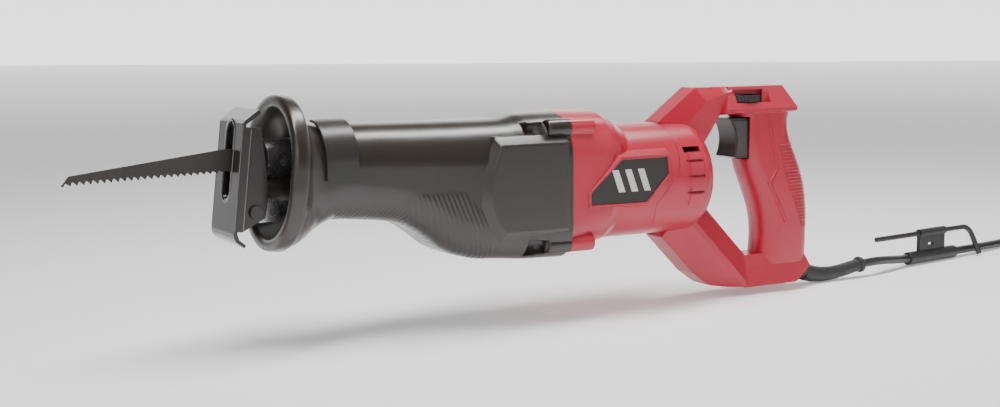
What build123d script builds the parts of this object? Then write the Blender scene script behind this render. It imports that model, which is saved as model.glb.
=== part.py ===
from build123d import *
import math
import os

os.makedirs("parts", exist_ok=True)

# Corded reciprocating saw. Millimetres, +X towards the blade's tip, +Z up, +Y the tool's left side.
# Everything is laid out from the foot of the rear handle (z = 0 there), and moved to the row's frame
# on export: the origin is under the middle of the tool's box, on the floor that the sagging
# strain relief touches.
origin_x = 28.0
floor_drop = 6.0

# Axes of the two shafts
stroke_z = 117.5
motor_z = 88.5
gear_x = 14.0

# Blade, 6 teeth to the inch
tooth_pitch = 25.4 / 6
tooth_depth = 2.6
blade_thickness = 1.25
blade_tip_x = 297.5
blade_tang_x = 150.0
stroke = 28.6

# Plunger and scotch yoke
plunger_r = 8.0
plunger_tail_r = 6.0
crank_throw = stroke / 2
crank_pin_r = 5.0
yoke_z0, yoke_z1 = 110.0, 125.0

# Bevel pair: a crown wheel with 60 teeth over a pinion with 10
gear_teeth = 60
pinion_teeth = 10
mesh_pitch_r = 30.0
face_width = 6.0
crown_tip_z = motor_z + 4.1
crown_face_z = motor_z + 6.3

# Motor
motor_r = 41.5
motor_wall = 3.0
shaft_r = 4.0
core_r = 23.4
bearing_r = 11.0
label_floor = 41.2

# Front cover
cover_wall = 3.5
split_x = -43.0
collar_tilt = 5.0

# Shoe
shoe_tilt = 6.5
shoe_plate = 2.5
shoe_half_width = 20.5
pivot_x, pivot_z = 180.5, 86.0
pivot_r = 3.4

# Handle
handle_half = 18.0
handle_wall = 3.0
roof_z = 154.6
wheel_x = -220.5
HANDLE_SCREWS = [(-176.0, 138.0), (-252.0, 145.0), (-190.0, 33.0), (-231.0, 9.0)]

# Cord
cord_d = 7.0


def box(x0, x1, y0, y1, z0, z1):
    """A block between two corners."""
    return Pos((x0 + x1) / 2, (y0 + y1) / 2, (z0 + z1) / 2) * Box(x1 - x0, y1 - y0, z1 - z0)


def rod_x(r, x0, x1, y=0.0, z=0.0):
    """A cylinder along X."""
    return Pos((x0 + x1) / 2, y, z) * Rot(0, 90, 0) * Cylinder(r, x1 - x0)


def rod_y(r, y0, y1, x=0.0, z=0.0):
    """A cylinder along Y."""
    return Pos(x, (y0 + y1) / 2, z) * Rot(90, 0, 0) * Cylinder(r, y1 - y0)


def rod_z(r, z0, z1, x=0.0, y=0.0):
    """A cylinder along Z."""
    return Pos(x, y, (z0 + z1) / 2) * Cylinder(r, z1 - z0)


def ring_x(r_out, r_in, x0, x1, y=0.0, z=0.0):
    """A tube along X."""
    return rod_x(r_out, x0, x1, y, z) - rod_x(r_in, x0 - 1, x1 + 1, y, z)


def ring_z(r_out, r_in, z0, z1, x=0.0, y=0.0):
    """A tube along Z."""
    return rod_z(r_out, z0, z1, x, y) - rod_z(r_in, z0 - 1, z1 + 1, x, y)


def outline(points, y):
    """A closed polygon in the plane of the given y, from (x, z) points."""
    return make_face(Polyline([(x, y, z) for x, z in points], close=True))


def side_prism(points, y0, y1):
    """A side profile of (x, z) points, extruded from y0 to y1."""
    return extrude(outline(points, y0), amount=y1 - y0, dir=(0, 1, 0))


def section(x, width, z0, z1, r):
    """A rounded rectangle across the tool at the given x."""
    plane = Plane(origin=(x, 0, (z0 + z1) / 2), x_dir=(0, 1, 0), z_dir=(1, 0, 0))
    return plane * RectangleRounded(width, z1 - z0, r)


def crowned(x, width, z0, z1, r_top, r_low):
    """A rectangle across the tool at the given x, with large top corners and other low ones."""
    half = width / 2
    face = make_face(Polyline([(x, -half, z0), (x, half, z0), (x, half, z1), (x, -half, z1)], close=True))
    levels = face.vertices().group_by(Axis.Z)
    face = fillet(levels[-1], r_top)
    return fillet(face.vertices().group_by(Axis.Z)[0], r_low)


def slice_z(x, z, depth, width, r, lean=0.0):
    """A rounded rectangle across an upright grip, leaning with the grip."""
    plane = Plane(origin=(x, 0, z), x_dir=(1, 0, math.tan(math.radians(lean))),
                  z_dir=(-math.sin(math.radians(lean)), 0, math.cos(math.radians(lean))))
    return plane * RectangleRounded(depth, width, r)


# ---------------------------------------------------------------- blade and plunger

def blade_bottom(x):
    """Height of the tooth line, which runs slightly down towards the tip."""
    return 110.3 - 3.0 * (x - 195.0) / (blade_tip_x - 195.0)


def blade_top(x):
    """Height of the back of the blade over its bevelled tip."""
    return 107.6 + 6.0 * min(5.0, blade_tip_x - x) / 5.0


def blade():
    points = [(blade_tang_x, 125.0), (195.0, 125.3), (blade_tip_x - 5.0, 113.6), (blade_tip_x, 107.6)]
    x = blade_tip_x - 1.5
    while x > 181.0:
        root = blade_bottom(x) + min(tooth_depth, 0.5 * (blade_top(x - 1.5) - blade_bottom(x)))
        points.append((x, blade_bottom(x)))
        points.append((x - 0.8, root - 0.15 * (root - blade_bottom(x))))
        points.append((x - 1.5, root))
        x = x - tooth_pitch
    points.append((x + 1.2, blade_bottom(x) + 0.4))
    points.append((blade_tang_x + 8.0, 110.6))
    points.append((blade_tang_x, 112.5))
    half = blade_thickness / 2
    return side_prism(points, -half, half)


def blade_clamp():
    body = rod_x(13.5, 147.0, 170.0, 0, stroke_z) - box(149.9, 171, -0.68, 0.68, 109.9, 125.6)
    body = body - rod_y(3.05, 0, 20, 160.0, stroke_z)
    body = body - rod_x(plunger_r + 0.02, 140, 148.6, 0, stroke_z)
    return chamfer(body.edges().group_by(Axis.X)[-1].filter_by(GeomType.CIRCLE), 1.2)


def clamp_screw():
    screw = rod_y(3.0, 0.69, 12.6, 160.0, stroke_z)
    socket = Pos(160.0, 12.7, stroke_z) * Rot(90, 0, 0) * extrude(RegularPolygon(1.7, 6), 3.5)
    return screw - socket


def plunger():
    front = rod_x(plunger_r, 26.0, 148.5, 0, stroke_z)
    tail = rod_x(plunger_tail_r, -37.0, 2.0, 0, stroke_z)
    yoke = box(1.5, 26.5, -24.3, 24.3, yoke_z0, yoke_z1)
    slot = box(gear_x - 5.4, gear_x + 5.4, -19.8, 19.8, yoke_z0 - 1, yoke_z1 + 1)
    return front + tail + (yoke - slot)


def front_bushing():
    return ring_x(12.0, plunger_r + 0.04, 90.0, 116.0, 0, stroke_z)


def plunger_seal():
    return ring_x(13.0, plunger_r + 0.4, 116.3, 121.0, 0, stroke_z)


def rear_bushing():
    return ring_x(9.0, plunger_tail_r + 0.04, -26.0, -16.5, 0, stroke_z)


# ---------------------------------------------------------------- gears

def crank_gear():
    disc = rod_z(34.0, crown_face_z, 101.0, gear_x)
    hub = rod_z(11.0, 87.4, crown_face_z + 0.5, gear_x)
    teeth = []
    for i in range(gear_teeth):
        turn = Rot(0, 0, 360.0 * i / gear_teeth)
        teeth.append(Pos(gear_x, 0, 0) * turn
                     * box(mesh_pitch_r - 3, mesh_pitch_r + 3, -0.5, 0.5, crown_tip_z, crown_face_z + 0.3))
    return disc + hub + teeth - rod_z(5.0, 80, 110, gear_x)


def crank_pin():
    return rod_z(crank_pin_r, 101.0, yoke_z0 - 0.5, gear_x, crank_throw)


def gear_shaft():
    return rod_z(5.0, 50.0, 101.0, gear_x)


def gear_bearings():
    low = ring_z(13.0, 5.02, 50.0, 58.0, gear_x)
    high = ring_z(13.0, 5.02, 78.8, 86.8, gear_x)
    return [low, high]


def pinion():
    x0 = gear_x - mesh_pitch_r - 3
    tip, root = 5.9, 3.7
    body = rod_x(root, x0 - 1.5, x0 + face_width, 0, motor_z)
    for i in range(pinion_teeth):
        turn = 360.0 * (i + 0.5) / pinion_teeth
        tooth = extrude(make_face(Polyline([(0, -0.95, root - 0.6), (0, 0.95, root - 0.6), (0, 0.4, tip),
                                            (0, -0.4, tip)], close=True)), amount=face_width, dir=(1, 0, 0))
        body = body + Pos(x0, 0, motor_z) * Rot(turn, 0, 0) * tooth
    return body - rod_x(2.5, x0 - 5, x0 + 10, 0, motor_z)


# ---------------------------------------------------------------- motor

def armature_shaft():
    return rod_x(shaft_r, -157.0, -30.5, 0, motor_z) + rod_x(2.49, -31.0, -13.5, 0, motor_z)


def armature_core():
    core = ring_x(core_r, shaft_r + 0.01, -108.0, -68.0, 0, motor_z)
    slots = []
    for i in range(12):
        slots.append(Pos(-88.0, 0, motor_z) * Rot(30.0 * i, 0, 0) * Pos(0, 0, core_r - 2.0) * Box(60, 2.4, 8))
    return core - slots


def armature_windings():
    front = ring_x(18.0, shaft_r + 0.01, -67.9, -63.0, 0, motor_z)
    rear = ring_x(18.0, shaft_r + 0.01, -116.0, -108.1, 0, motor_z)
    return [front, rear]


def commutator():
    drum = ring_x(12.0, shaft_r + 0.01, -132.0, -116.1, 0, motor_z)
    cuts = [Pos(-124.0, 0, motor_z) * Rot(30.0 * i, 0, 0) * Pos(0, 0, 12.0) * Box(20, 0.6, 1.6)
            for i in range(12)]
    return drum - cuts


def cooling_fan():
    hub = ring_x(34.0, shaft_r + 0.01, -56.0, -54.5, 0, motor_z) + ring_x(8.0, shaft_r + 0.01, -62.0, -54.6, 0, motor_z)
    vanes = [Pos(-58.3, 0, motor_z) * Rot(36.0 * i, 0, 0) * Pos(0, 0, 20.0) * Box(7.2, 1.4, 26.0)
             for i in range(10)]
    return hub + vanes


def motor_bearings():
    front = ring_x(bearing_r, shaft_r + 0.01, -40.0, -33.0, 0, motor_z)
    rear = ring_x(bearing_r, shaft_r + 0.01, -152.0, -145.0, 0, motor_z)
    return [front, rear]


def field_stator():
    ring = rod_x(38.2, -108.0, -68.0, 0, motor_z) - rod_x(core_r + 0.8, -110, -66, 0, motor_z)
    coil_room = box(-110, -66, -17, 17, motor_z + 14, motor_z + 33)
    coil_room = coil_room + box(-110, -66, -17, 17, motor_z - 33, motor_z - 14)
    return ring - coil_room


def field_coils():
    coils = []
    for side in (1, -1):
        z0, z1 = sorted((motor_z + side * 25.0, motor_z + side * 32.5))
        coils.append(box(-113.0, -64.0, -16.5, 16.5, z0, z1))
    return coils


def end_bracket():
    """Moulded bracket behind the armature, with the rear bearing's seat and the brush guides."""
    plate = ring_x(38.2, 7.0, -144.8, -141.5, 0, motor_z)
    seat = ring_x(14.0, bearing_r + 0.02, -152.0, -144.9, 0, motor_z)
    vents = [Pos(-143.0, 0, motor_z) * Rot(45.0 * i + 22.5, 0, 0) * Pos(0, 0, 27.0) * Box(6, 9, 13)
             for i in range(8)]
    posts = [box(-141.6, -118.0, side * 25 - 10.5, side * 25 + 10.5, motor_z - 8.0, motor_z - 4.6)
             for side in (1, -1)]
    return (plate - vents) + seat + posts


def brush_holders():
    tubes = []
    for side in (1, -1):
        y0, y1 = sorted((side * 14.0, side * 36.0))
        tube = box(-129.0, -119.0, y0, y1, motor_z - 4.4, motor_z + 4.4)
        tubes.append(tube - box(-127.2, -120.8, y0 - 1, y1 + 1, motor_z - 3.1, motor_z + 3.1))
    return tubes


def brushes():
    blocks = []
    for side in (1, -1):
        y0, y1 = sorted((side * 12.3, side * 26.0))
        blocks.append(box(-127.0, -121.0, y0, y1, motor_z - 2.9, motor_z + 2.9))
    return blocks


def brush_springs():
    coils = []
    for side in (1, -1):
        y0, y1 = sorted((side * 26.1, side * 35.8))
        coils.append(rod_y(2.5, y0, y1, -124.0, motor_z))
    return coils


# ---------------------------------------------------------------- gear housing

def gear_housing():
    """Cast case: a box round the gears, a nose for the plunger's bushing, bearing seats, a shoe guide."""
    outer = loft([section(-42.5, 72, 54, 130, 20), section(12, 73.4, 53, 131, 20), section(26, 69, 55, 131, 20),
                  section(46, 60, 66, 130, 15), section(58, 50, 78, 130, 12)], ruled=True)
    inner = loft([section(-30.0, 69.2, 57, 128.0, 17), section(12, 70.4, 56, 128.5, 17), section(24, 66, 58, 128.5, 15),
                  section(43, 56.5, 67, 128, 11), section(53, 46, 79, 128, 10)], ruled=True)
    case = outer - inner
    case = case + rod_x(16.5, 50.0, 116.2, 0, stroke_z)
    case = case - rod_x(12.02, 89.9, 130, 0, stroke_z) - rod_x(10.0, 40, 95, 0, stroke_z)
    # bearing seats for the gear's shaft
    case = case + (rod_z(15.5, 48.8, 58.4, gear_x) - rod_z(13.02, 49.9, 70, gear_x))
    case = case - rod_z(13.02, 49.9, 58.5, gear_x)
    case = case + (box(-8, 34, -34.4, 34.4, 78.6, 82.0) - rod_z(13.02, 70, 90, gear_x))
    # seat for the motor's front bearing and guide for the plunger's tail
    case = case - rod_x(bearing_r + 0.02, -50, -32.9, 0, motor_z) - rod_x(7.0, -35, -20, 0, motor_z)
    case = case + (rod_x(12.0, -31.0, -16.2, 0, stroke_z) - rod_x(9.02, -26.1, -16, 0, stroke_z))
    case = case - rod_x(7.5, -60, -26.0, 0, stroke_z) - rod_x(9.02, -26.1, -16, 0, stroke_z)
    # guide for the shoe's bar under the nose
    guide = box(88.0, 114.0, -15.0, 15.0, 79.5, 102.5) - box(87, 115, -10.3, 10.3, 83.7, 89.3)
    case = case + (guide - rod_x(14.0, 80, 120, 0, stroke_z))
    return case - rod_x(12.02, 89.9, 130, 0, stroke_z)


def bearing_cover():
    """Plate behind the front motor bearing."""
    return ring_x(20.0, 7.0, -46.0, -42.8, 0, motor_z)


# ---------------------------------------------------------------- front cover

def cover_body(inset, x_front, x_rear):
    """Neck and belly, as a stack of crowned sections shrunk by the inset."""
    stack = [(x_front, 62.5, 76.5, 139.0, 27, 20), (100, 63, 74.5, 138.8, 27, 20), (80, 65, 72.5, 138.5, 28, 21),
             (70, 67, 67.5, 138.3, 28, 22), (58, 70, 59.5, 138.2, 28, 23), (46, 73.5, 50.8, 138.2, 29, 24),
             (34, 77, 45.8, 138.2, 29, 24), (20, 80, 42.8, 138.2, 29, 24), (4, 83, 41.6, 138.4, 29, 23),
             (-4, 84, 41.0, 139.4, 29, 23), (-13, 85, 40.4, 141.2, 30, 22), (x_rear, 86, 39.6, 141.8, 30, 22)]
    rings = [crowned(x, w - 2 * inset, z0 + inset, z1 - inset, rt - inset, rl - inset)
             for x, w, z0, z1, rt, rl in stack]
    return loft(rings, ruled=True)


def collar_plane(offset):
    """Plane across the collar, raked so that its top leans back. Its z direction points forward."""
    lean = math.radians(collar_tilt)
    return Plane(origin=(164.5 + offset * math.cos(lean), 0, 108.5 + offset * math.sin(lean)),
                 x_dir=(0, 1, 0), z_dir=(math.cos(lean), 0, math.sin(lean)))


def collar():
    """Oval rim round the mouth, flaring out of the neck."""
    rim = extrude(collar_plane(-11.0) * RectangleRounded(90, 102, 44.0), 11.0)
    rim = fillet(rim.edges().filter_by(GeomType.LINE, reverse=True), 2.4)
    flare = loft([collar_plane(-9.0) * RectangleRounded(82, 95, 40.0),
                  section(147.0, 69.0, 63.0, 144.5, 31), section(140.0, 63.6, 68.0, 140.2, 28),
                  section(133.0, 62.8, 73.0, 139.2, 26), section(124.0, 62.5, 76.4, 139.0, 25)], ruled=True)
    return rim + flare


def mouth():
    """Hollow of the collar, a rounded funnel into the neck."""
    front = collar_plane(1.0) * RectangleRounded(71.5, 84.5, 35.0)
    middle = collar_plane(-7.0) * RectangleRounded(68, 81, 33.0)
    return loft([front, middle, section(146.0, 63, 74.0, 141.0, 28), section(136.0, 56, 80.0, 135.5, 22),
                 section(125.0, 54, 81.0, 135.0, 21)], ruled=True)


def side_pad(y_side):
    """Raised flat pad on the side of the cover, with bevelled front, top and bottom edges."""
    top = [(15.4, 121.3), (21.7, 102.1), (21.9, 81.9), (18.4, 70.1), (11.0, 63.0), (-38.8, 63.0), (-38.8, 121.3)]
    low = [(17.0, 128.0), (27.5, 104.5), (29.5, 80.5), (23.0, 62.0), (13.5, 54.5), (-38.8, 54.5), (-38.8, 128.0)]
    base = outline(low, y_side * 38.5)
    crown = outline(top, y_side * 44.6)
    return loft([base, crown], ruled=True)


def cover_bosses():
    """Screw bosses at the four rear corners."""
    return [rod_x(6.4, split_x, -25.0, side * 35.0, z) for side in (1, -1) for z in (131.5, 50.8)]


def boss_backing():
    """Thickening behind each boss, so that its scooped pocket has a floor."""
    return [rod_x(7.7, split_x, -9.0, side * 35.0, z) for side in (1, -1) for z in (131.5, 50.8)]


def boss_screw_holes():
    holes = []
    for side in (1, -1):
        for z in (131.5, 50.8):
            holes.append(rod_x(4.4, -35.0, -20.0, side * 35.0, z))
            holes.append(rod_x(2.4, -60.0, -30.0, side * 35.0, z))
            # scooped run-up to the screw head
            holes.append(Pos(-25.0, side * 35.0, z) * Rot(0, -90, 0) * Cone(4.4, 7.0, 14.0,
                         align=(Align.CENTER, Align.CENTER, Align.MAX)))
    return holes


def front_cover():
    body = cover_body(0.0, 125.0, split_x)
    solid = body + collar() + side_pad(1) + side_pad(-1)
    solid = solid - cover_body(cover_wall, 126.0, split_x - 2.0) - mouth()
    backing = [post & body for post in boss_backing()]
    return solid + backing + cover_bosses() - boss_screw_holes()


def shoe_lock_lever():
    """Curved tab that wraps the neck's shoulder, hinged along its top edge."""
    thick = extrude(section(113.0, 68.2, 75.0, 142.6, 27), 26.0)
    core = extrude(section(112.0, 65.2, 77.0, 141.0, 25.6), 28.0)
    tab = (thick - core) & box(115.0, 137.4, 7.0, 40.0, 104.5, 150.0)
    return tab + rod_x(0.8, 115.0, 137.4, 7.0, 141.8)


# ---------------------------------------------------------------- shoe

def shoe():
    """Bent steel shoe with an open slot for the blade, modelled upright and then tilted."""
    w, h = shoe_half_width, 35.0
    front = box(-shoe_plate, 0, -w, w, -h, h)
    top = side_prism([(-0.2, h), (-2.5, h - 0.6), (-11.5, h + 7.4), (-10.0, h + 9.4), (-1.5, h + 2.0)], -w, w)
    curl = side_prism([(-2.5, -h), (0, -h), (-0.6, -h - 3.0), (-2.2, -h - 5.2), (-8.0, -h - 8.6),
                       (-8.9, -h - 6.6), (-4.2, -h - 3.6)], -w, w)
    flanges = []
    profile = [(-0.2, 33.0), (-0.2, -33.5), (-6.0, -33.5), (-20.5, -24.0), (-21.5, -10.0), (-18.5, 8.0),
               (-14.5, 26.0), (-13.0, 33.0)]
    for side in (1, -1):
        y0, y1 = sorted((side * (w - shoe_plate), side * w))
        flange = side_prism(profile, y0, y1)
        y2, y3 = sorted((side * (w - 0.8), side * (w + 0.1)))
        flanges.append(flange - side_prism([(-6.0, 40), (-30, 40), (-30, -40), (-6.0, -40)], y2, y3))
    slot = box(-10, 10, -6, 6, -8.5, 29.0) + rod_x(6.0, -10, 10, 0, 29.0) + rod_x(6.0, -10, 10, 0, -8.5)
    body = front + top + curl + flanges - slot
    body = Pos(192.2, 0, 108.0) * Rot(0, -shoe_tilt, 0) * body
    return body - rod_y(pivot_r + 0.05, -40, 40, pivot_x, pivot_z)


def shoe_bar():
    """Flat bar that carries the shoe, with a cross plate and two ears for the pivot pin."""
    bar = box(92.0, 168.0, -10.0, 10.0, 84.0, 89.0)
    cross = box(164.0, 168.0, -17.4, 17.4, 79.0, 93.0)
    ears = []
    for side in (1, -1):
        y0, y1 = sorted((side * 13.4, side * 17.4))
        ears.append(box(166.0, pivot_x, y0, y1, 79.0, 93.0) + rod_y(7.0, y0, y1, pivot_x, pivot_z))
    return bar + cross + ears - rod_y(pivot_r + 0.05, -40, 40, pivot_x, pivot_z)


def shoe_pivot_pin():
    pin = rod_y(pivot_r, -21.6, 21.6, pivot_x, pivot_z)
    heads = rod_y(4.6, 20.7, 22.2, pivot_x, pivot_z) + rod_y(4.6, -22.2, -20.7, pivot_x, pivot_z)
    return pin + heads


# ---------------------------------------------------------------- motor housing

def housing_shape():
    """Red barrel with a raised front that matches the cover's end."""
    barrel = rod_x(motor_r, -144.0, split_x - 0.2, 0, motor_z)
    bump = loft([crowned(split_x - 0.2, 86, 43.0, 141.8, 30, 24), crowned(-78.0, 81, 47.5, 141.0, 30, 28),
                 crowned(-87.0, 76, 51.0, 137.5, 28, 28), crowned(-101.0, 62, 55.0, 128.5, 24, 24)], ruled=True)
    return barrel + bump


def seam_cutter():
    """Everything behind the zigzag seam between the motor housing and the handle."""
    line = [(-139.5, 140.0), (-139.5, 118.0), (-136.7, 99.7), (-116.5, 73.4), (-120.5, 57.0), (-120.5, 30.0)]
    return side_prism(line + [(-300.0, 30.0), (-300.0, 140.0)], -60, 60)


def label_outline(margin):
    """Six-sided outline of the flank label, grown by a margin."""
    points = [(-84.1, 107.7), (-123.3, 107.9), (-125.2, 95.6), (-106.0, 76.6), (-58.5, 77.0), (-58.0, 85.5)]
    middle_x, middle_z = -91.6, 92.2
    return [(middle_x + (x - middle_x) * (1 + margin / 33.5), middle_z + (z - middle_z) * (1 + margin / 15.6))
            for x, z in points]


def label_frame(side):
    """Raised frame on the flank with sloping edges."""
    return loft([outline(label_outline(6.5), side * 30.0), outline(label_outline(1.8), side * 43.0)], ruled=True)


def label_pocket(side):
    y0, y1 = sorted((side * label_floor, side * 60.0))
    return side_prism(label_outline(0.0), y0, y1)


def motor_housing():
    body = housing_shape()
    bosses = [rod_x(6.4, -62.5, split_x - 0.2, side * 35.0, z) for side in (1, -1) for z in (131.5, 50.8)]
    body = body + bosses + label_frame(1) + label_frame(-1)
    body = body - rod_x(motor_r - motor_wall, -150, -40, 0, motor_z)
    body = body - rod_x(2.45, -60, -40, 35.0, 131.5) - rod_x(2.45, -60, -40, -35.0, 131.5)
    body = body - rod_x(2.45, -60, -40, 35.0, 50.8) - rod_x(2.45, -60, -40, -35.0, 50.8)
    body = body - label_pocket(1) - label_pocket(-1)
    return body - seam_cutter()


def side_labels():
    """Plain plates in the two flank pockets."""
    plates = []
    for side in (1, -1):
        y0, y1 = sorted((side * (label_floor + 0.02), side * (label_floor + 1.0)))
        plates.append(side_prism(label_outline(-0.15), y0, y1))
    return plates


def cover_screws():
    screws = []
    for side in (1, -1):
        for z in (131.5, 50.8):
            head = rod_x(4.0, -35.0, -31.5, side * 35.0, z)
            shank = rod_x(2.2, -57.0, -35.0, side * 35.0, z)
            socket = Pos(-31.0, side * 35.0, z) * Rot(0, 90, 0) * extrude(RegularPolygon(2.0, 6), -2.5)
            screws.append(head + shank - socket)
    return screws


# ---------------------------------------------------------------- handle

def end_cap():
    """Rounded end of the motor, part of the handle shells."""
    cap = rod_x(motor_r, -173.0, -105.0, 0, motor_z)
    cap = fillet(cap.edges().group_by(Axis.X)[0], 13.0)
    return cap & seam_cutter_behind()


def roof_bar():
    """Top bar with a roof-like section, cut slanting at both ends."""
    roof = make_face(Polyline([(-290, -18, 135.0), (-290, -18, 137.6), (-290, -11, roof_z), (-290, 11, roof_z),
                               (-290, 18, 137.6), (-290, 18, 135.0), (-290, 12, 133.5), (-290, -12, 133.5)],
                              close=True))
    bar = extrude(roof, amount=110.0, dir=(1, 0, 0))
    front = side_prism([(-194.0, 128.0), (-205.0, 160.0), (-150.0, 160.0), (-150.0, 128.0)], -30, 30)
    rear = side_prism([(-252.0, 165.0), (-256.0, roof_z), (-266.0, 138.0), (-265.5, 128.0), (-300, 128.0),
                       (-300, 165.0)], -30, 30)
    return bar - front - rear


def upper_strut():
    """Arm from the end cap up to the top bar, bevelled towards its outer edge."""
    core = [(-134.0, 126.0), (-173.5, roof_z), (-207.0, roof_z), (-198.5, 138.0), (-181.0, 114.5), (-160.0, 98.0)]
    edge = [(-156.0, 122.0), (-181.0, 144.0), (-205.5, 151.5), (-197.0, 138.0), (-180.0, 114.5), (-164.0, 102.0)]
    arm = side_prism(core, -8.0, 8.0)
    for side in (1, -1):
        arm = arm + loft([outline(core, side * 8.0), outline(edge, side * 13.5)], ruled=True)
    return arm


def lower_strut():
    """Wedge-sided arm from the end cap down to the foot, with a sharp ridge along each flank."""
    core = [(-150.0, 62.0), (-183.0, 64.0), (-222.0, 24.5), (-222.5, 12.0), (-207.0, 0.1), (-188.0, 3.6),
            (-173.0, 14.0), (-143.0, 44.0)]
    ridge = [(-156.0, 68.0), (-165.5, 58.5), (-218.3, 4.6), (-219.0, 1.4), (-216.5, 0.8), (-202.0, 14.5),
             (-186.0, 31.0), (-157.0, 61.0)]
    arm = side_prism(core, -10.0, 10.0)
    for side in (1, -1):
        arm = arm + loft([outline(core, side * 9.9), outline(ridge, side * 17.8)], ruled=True)
    return arm


def grip():
    """Upright grip, fuller at the palm."""
    return loft([slice_z(-241.5, 135.0, 53.0, 29.0, 13.0), slice_z(-243.5, 112.0, 50.0, 31.0, 14.0),
                 slice_z(-251.5, 88.0, 54.5, 33.0, 15.0), slice_z(-260.0, 62.0, 49.5, 33.0, 15.0),
                 slice_z(-262.5, 36.0, 46.0, 32.0, 14.0), slice_z(-261.5, 13.0, 48.0, 26.0, 12.0)])


def foot():
    """Bar under the grip, bevelled inwards towards its top."""
    bar = make_face(Polyline([(-289, -17.5, 0.0), (-289, 17.5, 0.0), (-289, 13.5, 15.5), (-289, 10.5, 24.0),
                              (-289, -10.5, 24.0), (-289, -13.5, 15.5)], close=True))
    bar = extrude(bar, amount=72.0, dir=(1, 0, 0))
    rear = side_prism([(-262.0, -1.0), (-270.0, 0.8), (-285.0, 11.5), (-281.0, 21.0), (-281.0, 30.0), (-300.0, 30.0),
                       (-300.0, -1.0)], -30, 30)
    return bar - rear


def handle_shape():
    """Rear D-handle with the motor's end cap."""
    strut = upper_strut() - rod_x(motor_r + 0.3, -150.0, -100.0, 0, motor_z)
    return end_cap() + roof_bar() + strut + lower_strut() + grip() + foot()


def seam_cutter_behind():
    """The same zigzag, kept a hair behind the motor housing's edge."""
    line = [(-139.8, 140.0), (-139.8, 118.0), (-137.0, 99.7), (-116.8, 73.4), (-120.8, 57.0), (-120.8, 30.0)]
    return side_prism(line + [(-300.0, 30.0), (-300.0, 140.0)], -60, 60)


def handle_cavity():
    """Hollow of the handle: motor end, trigger bay, grip and speed wheel bay."""
    motor_room = rod_x(motor_r - motor_wall, -160.0, -100.0, 0, motor_z)
    grip_room = loft([slice_z(-245.0, 129.0, 42.0, 22.0, 6.0), slice_z(-251.0, 90.0, 40.0, 24.0, 6.0),
                      slice_z(-259.5, 62.0, 36.0, 24.0, 6.0), slice_z(-260.5, 12.0, 34.0, 22.0, 6.0)], ruled=True)
    wheel_room = rod_z(18.8, 142.2, 148.4, wheel_x) + box(wheel_x - 10, wheel_x + 10, -8, 8, 135.0, 142.4)
    finger_room = rod_z(18.8, 148.3, 152.0, wheel_x) - box(-300, -100, -9.5, 9.5, 100, 160)
    wheel_room = wheel_room + finger_room
    for side in (1, -1):
        y0, y1 = sorted((side * 12.8, side * 30.0))
        wheel_room = wheel_room + box(wheel_x - 20.0, wheel_x + 12.5, y0, y1, 142.2, 151.6)
    trigger_room = box(-237.8, -212.0, -11.1, 11.1, 99.0, 130.8) + box(-223.6, -196.5, -25, 25, 98.6, 131.2)
    return motor_room + grip_room + wheel_room + trigger_room


def vents():
    """Air slots on the end cap."""
    cuts = []
    for side in (1, -1):
        for z, deep in ((111.3, 6.0), (103.4, 1.2), (92.5, 1.2), (80.8, 1.2)):
            y0, y1 = sorted((side * (math.sqrt(motor_r ** 2 - (z - motor_z) ** 2) - deep), side * 60.0))
            cuts.append(box(-158.5, -143.5, y0, y1, z - (1.9 if deep > 2 else 0.5), z + (1.9 if deep > 2 else 0.5)))
    return cuts


def handle_half_shell(side):
    half = handle_shape() - handle_cavity() - vents()
    half = half - rod_x(7.35, -300.0, -279.0, 0, 6.2) - rod_x(3.6, -282.0, -255.0, 0, 6.2)
    for x, z in HANDLE_SCREWS:
        half = half - rod_y(1.83, -40.0, 7.0, x, z) - rod_y(3.7, -40.0, -6.0, x, z)
    y0, y1 = (0.0, 70.0) if side > 0 else (-70.0, 0.0)
    return half & box(-320, -90, y0, y1, -20, 180)


def handle_left():
    return handle_half_shell(1)


def handle_right():
    return handle_half_shell(-1)


def trigger():
    """Concave trigger that slides back into the grip."""
    front = [(-211.8 + 0.0205 * (z - 113.2) ** 2, z) for z in range(129, 99, -2)]
    profile = [(-206.2, 130.2)] + front + [(-213.0, 99.6), (-228.5, 99.6), (-228.5, 130.2)]
    return side_prism(profile, -10.2, 10.2)


def trigger_spring():
    return rod_x(3.2, -238.2, -228.6, 0, 115.0)


def switch_body():
    block = box(-262.0, -238.3, -9.5, 9.5, 101.0, 127.0)
    return block + box(-260.0, -246.0, -7.0, 7.0, 96.0, 101.5)


def speed_wheel():
    """Ribbed thumbwheel on an upright spindle."""
    rim = rod_z(18.0, 142.8, 147.8, wheel_x)
    notches = [Pos(wheel_x, 0, 145.0) * Rot(0, 0, 9.0 * i) * Pos(18.2, 0, 0) * Box(1.4, 1.1, 8) for i in range(40)]
    return rim - notches + rod_z(2.5, 138.0, 142.9, wheel_x)


def speed_control():
    """Small potentiometer under the wheel."""
    return box(wheel_x - 9.5, wheel_x + 9.5, -7.5, 7.5, 135.4, 141.8) - rod_z(2.56, 137.8, 143, wheel_x)


def inner_cord():
    """The cord's end inside the grip, up to the switch."""
    return rod_z(3.4, 14.0, 95.8, -262.0)


def cord_clamp():
    """Clamp that grips the cord inside the foot."""
    return box(-268.5, -255.5, -8.0, 8.0, 18.0, 26.0) - rod_z(3.45, 10, 30, -262.0)


def handle_screws():
    screws = []
    for x, z in HANDLE_SCREWS:
        screw = rod_y(1.8, -8.0, 6.6, x, z) + rod_y(3.4, -8.4, -6.1, x, z)
        screws.append(screw - Pos(x, -8.5, z) * Rot(90, 0, 0) * Pos(0, 0, -0.6) * Box(1.0, 4.0, 1.6))
    return screws


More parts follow.
